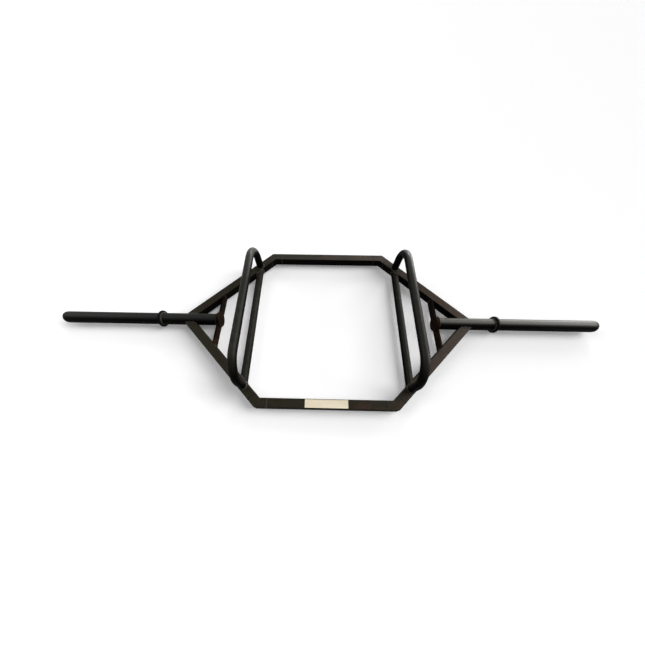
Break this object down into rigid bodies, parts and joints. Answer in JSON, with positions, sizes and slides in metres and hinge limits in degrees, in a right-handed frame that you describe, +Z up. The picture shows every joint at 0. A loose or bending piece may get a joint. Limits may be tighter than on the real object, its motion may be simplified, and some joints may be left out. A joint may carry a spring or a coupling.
{
  "type": "hex trap bar",
  "caption": "Welded six-sided trap bar of square tube with low and raised hand grips inside the frame and round loading sleeves with stop collars at both ends.",
  "frame": {"origin": "on the floor under the middle of the frame, with the bar lying level on its two stop collars", "axes": "+X along the loading sleeves to the lifter's right, +Y from the front bar to the rear bar, +Z up"},
  "size_m": [2.212, 0.7202, 0.2007],
  "materials": {
    "frame_coat": "satin black powder coat with a fine grain",
    "grip_coat": "satin black powder coat, rubbed smooth by hands",
    "sleeve_coat": "satin black powder coat with rubbed edges",
    "plate_coat": "thin dark brown coat over flat steel",
    "cap_plastic": "moulded black plastic",
    "weld_coat": "painted weld bead",
    "name_plate": "bare cream plate with a dark border"
  },
  "bodies": {
    "root": {"front_bar": "frame_coat", "rear_bar": "frame_coat", "front_left_elbow": "frame_coat", "front_right_elbow": "frame_coat", "rear_left_elbow": "frame_coat", "rear_right_elbow": "frame_coat", "front_left_rail": "frame_coat", "front_right_rail": "frame_coat", "rear_left_rail": "frame_coat", "rear_right_rail": "frame_coat", "left_low_grip": "grip_coat", "right_low_grip": "grip_coat", "left_raised_handle": "grip_coat", "right_raised_handle": "grip_coat", "left_sleeve": "sleeve_coat", "right_sleeve": "sleeve_coat", "left_stop_collar": "sleeve_coat", "right_stop_collar": "sleeve_coat", "left_cross_plate": "plate_coat", "right_cross_plate": "plate_coat", "left_end_cap": "cap_plastic", "right_end_cap": "cap_plastic", "seam_welds": "weld_coat", "rail_welds": "weld_coat", "plate_welds": "weld_coat", "sleeve_welds": "weld_coat", "collar_welds": "weld_coat", "grip_welds": "weld_coat", "foot_welds": "weld_coat", "name_plate": "name_plate"}
  },
  "joints": []
}
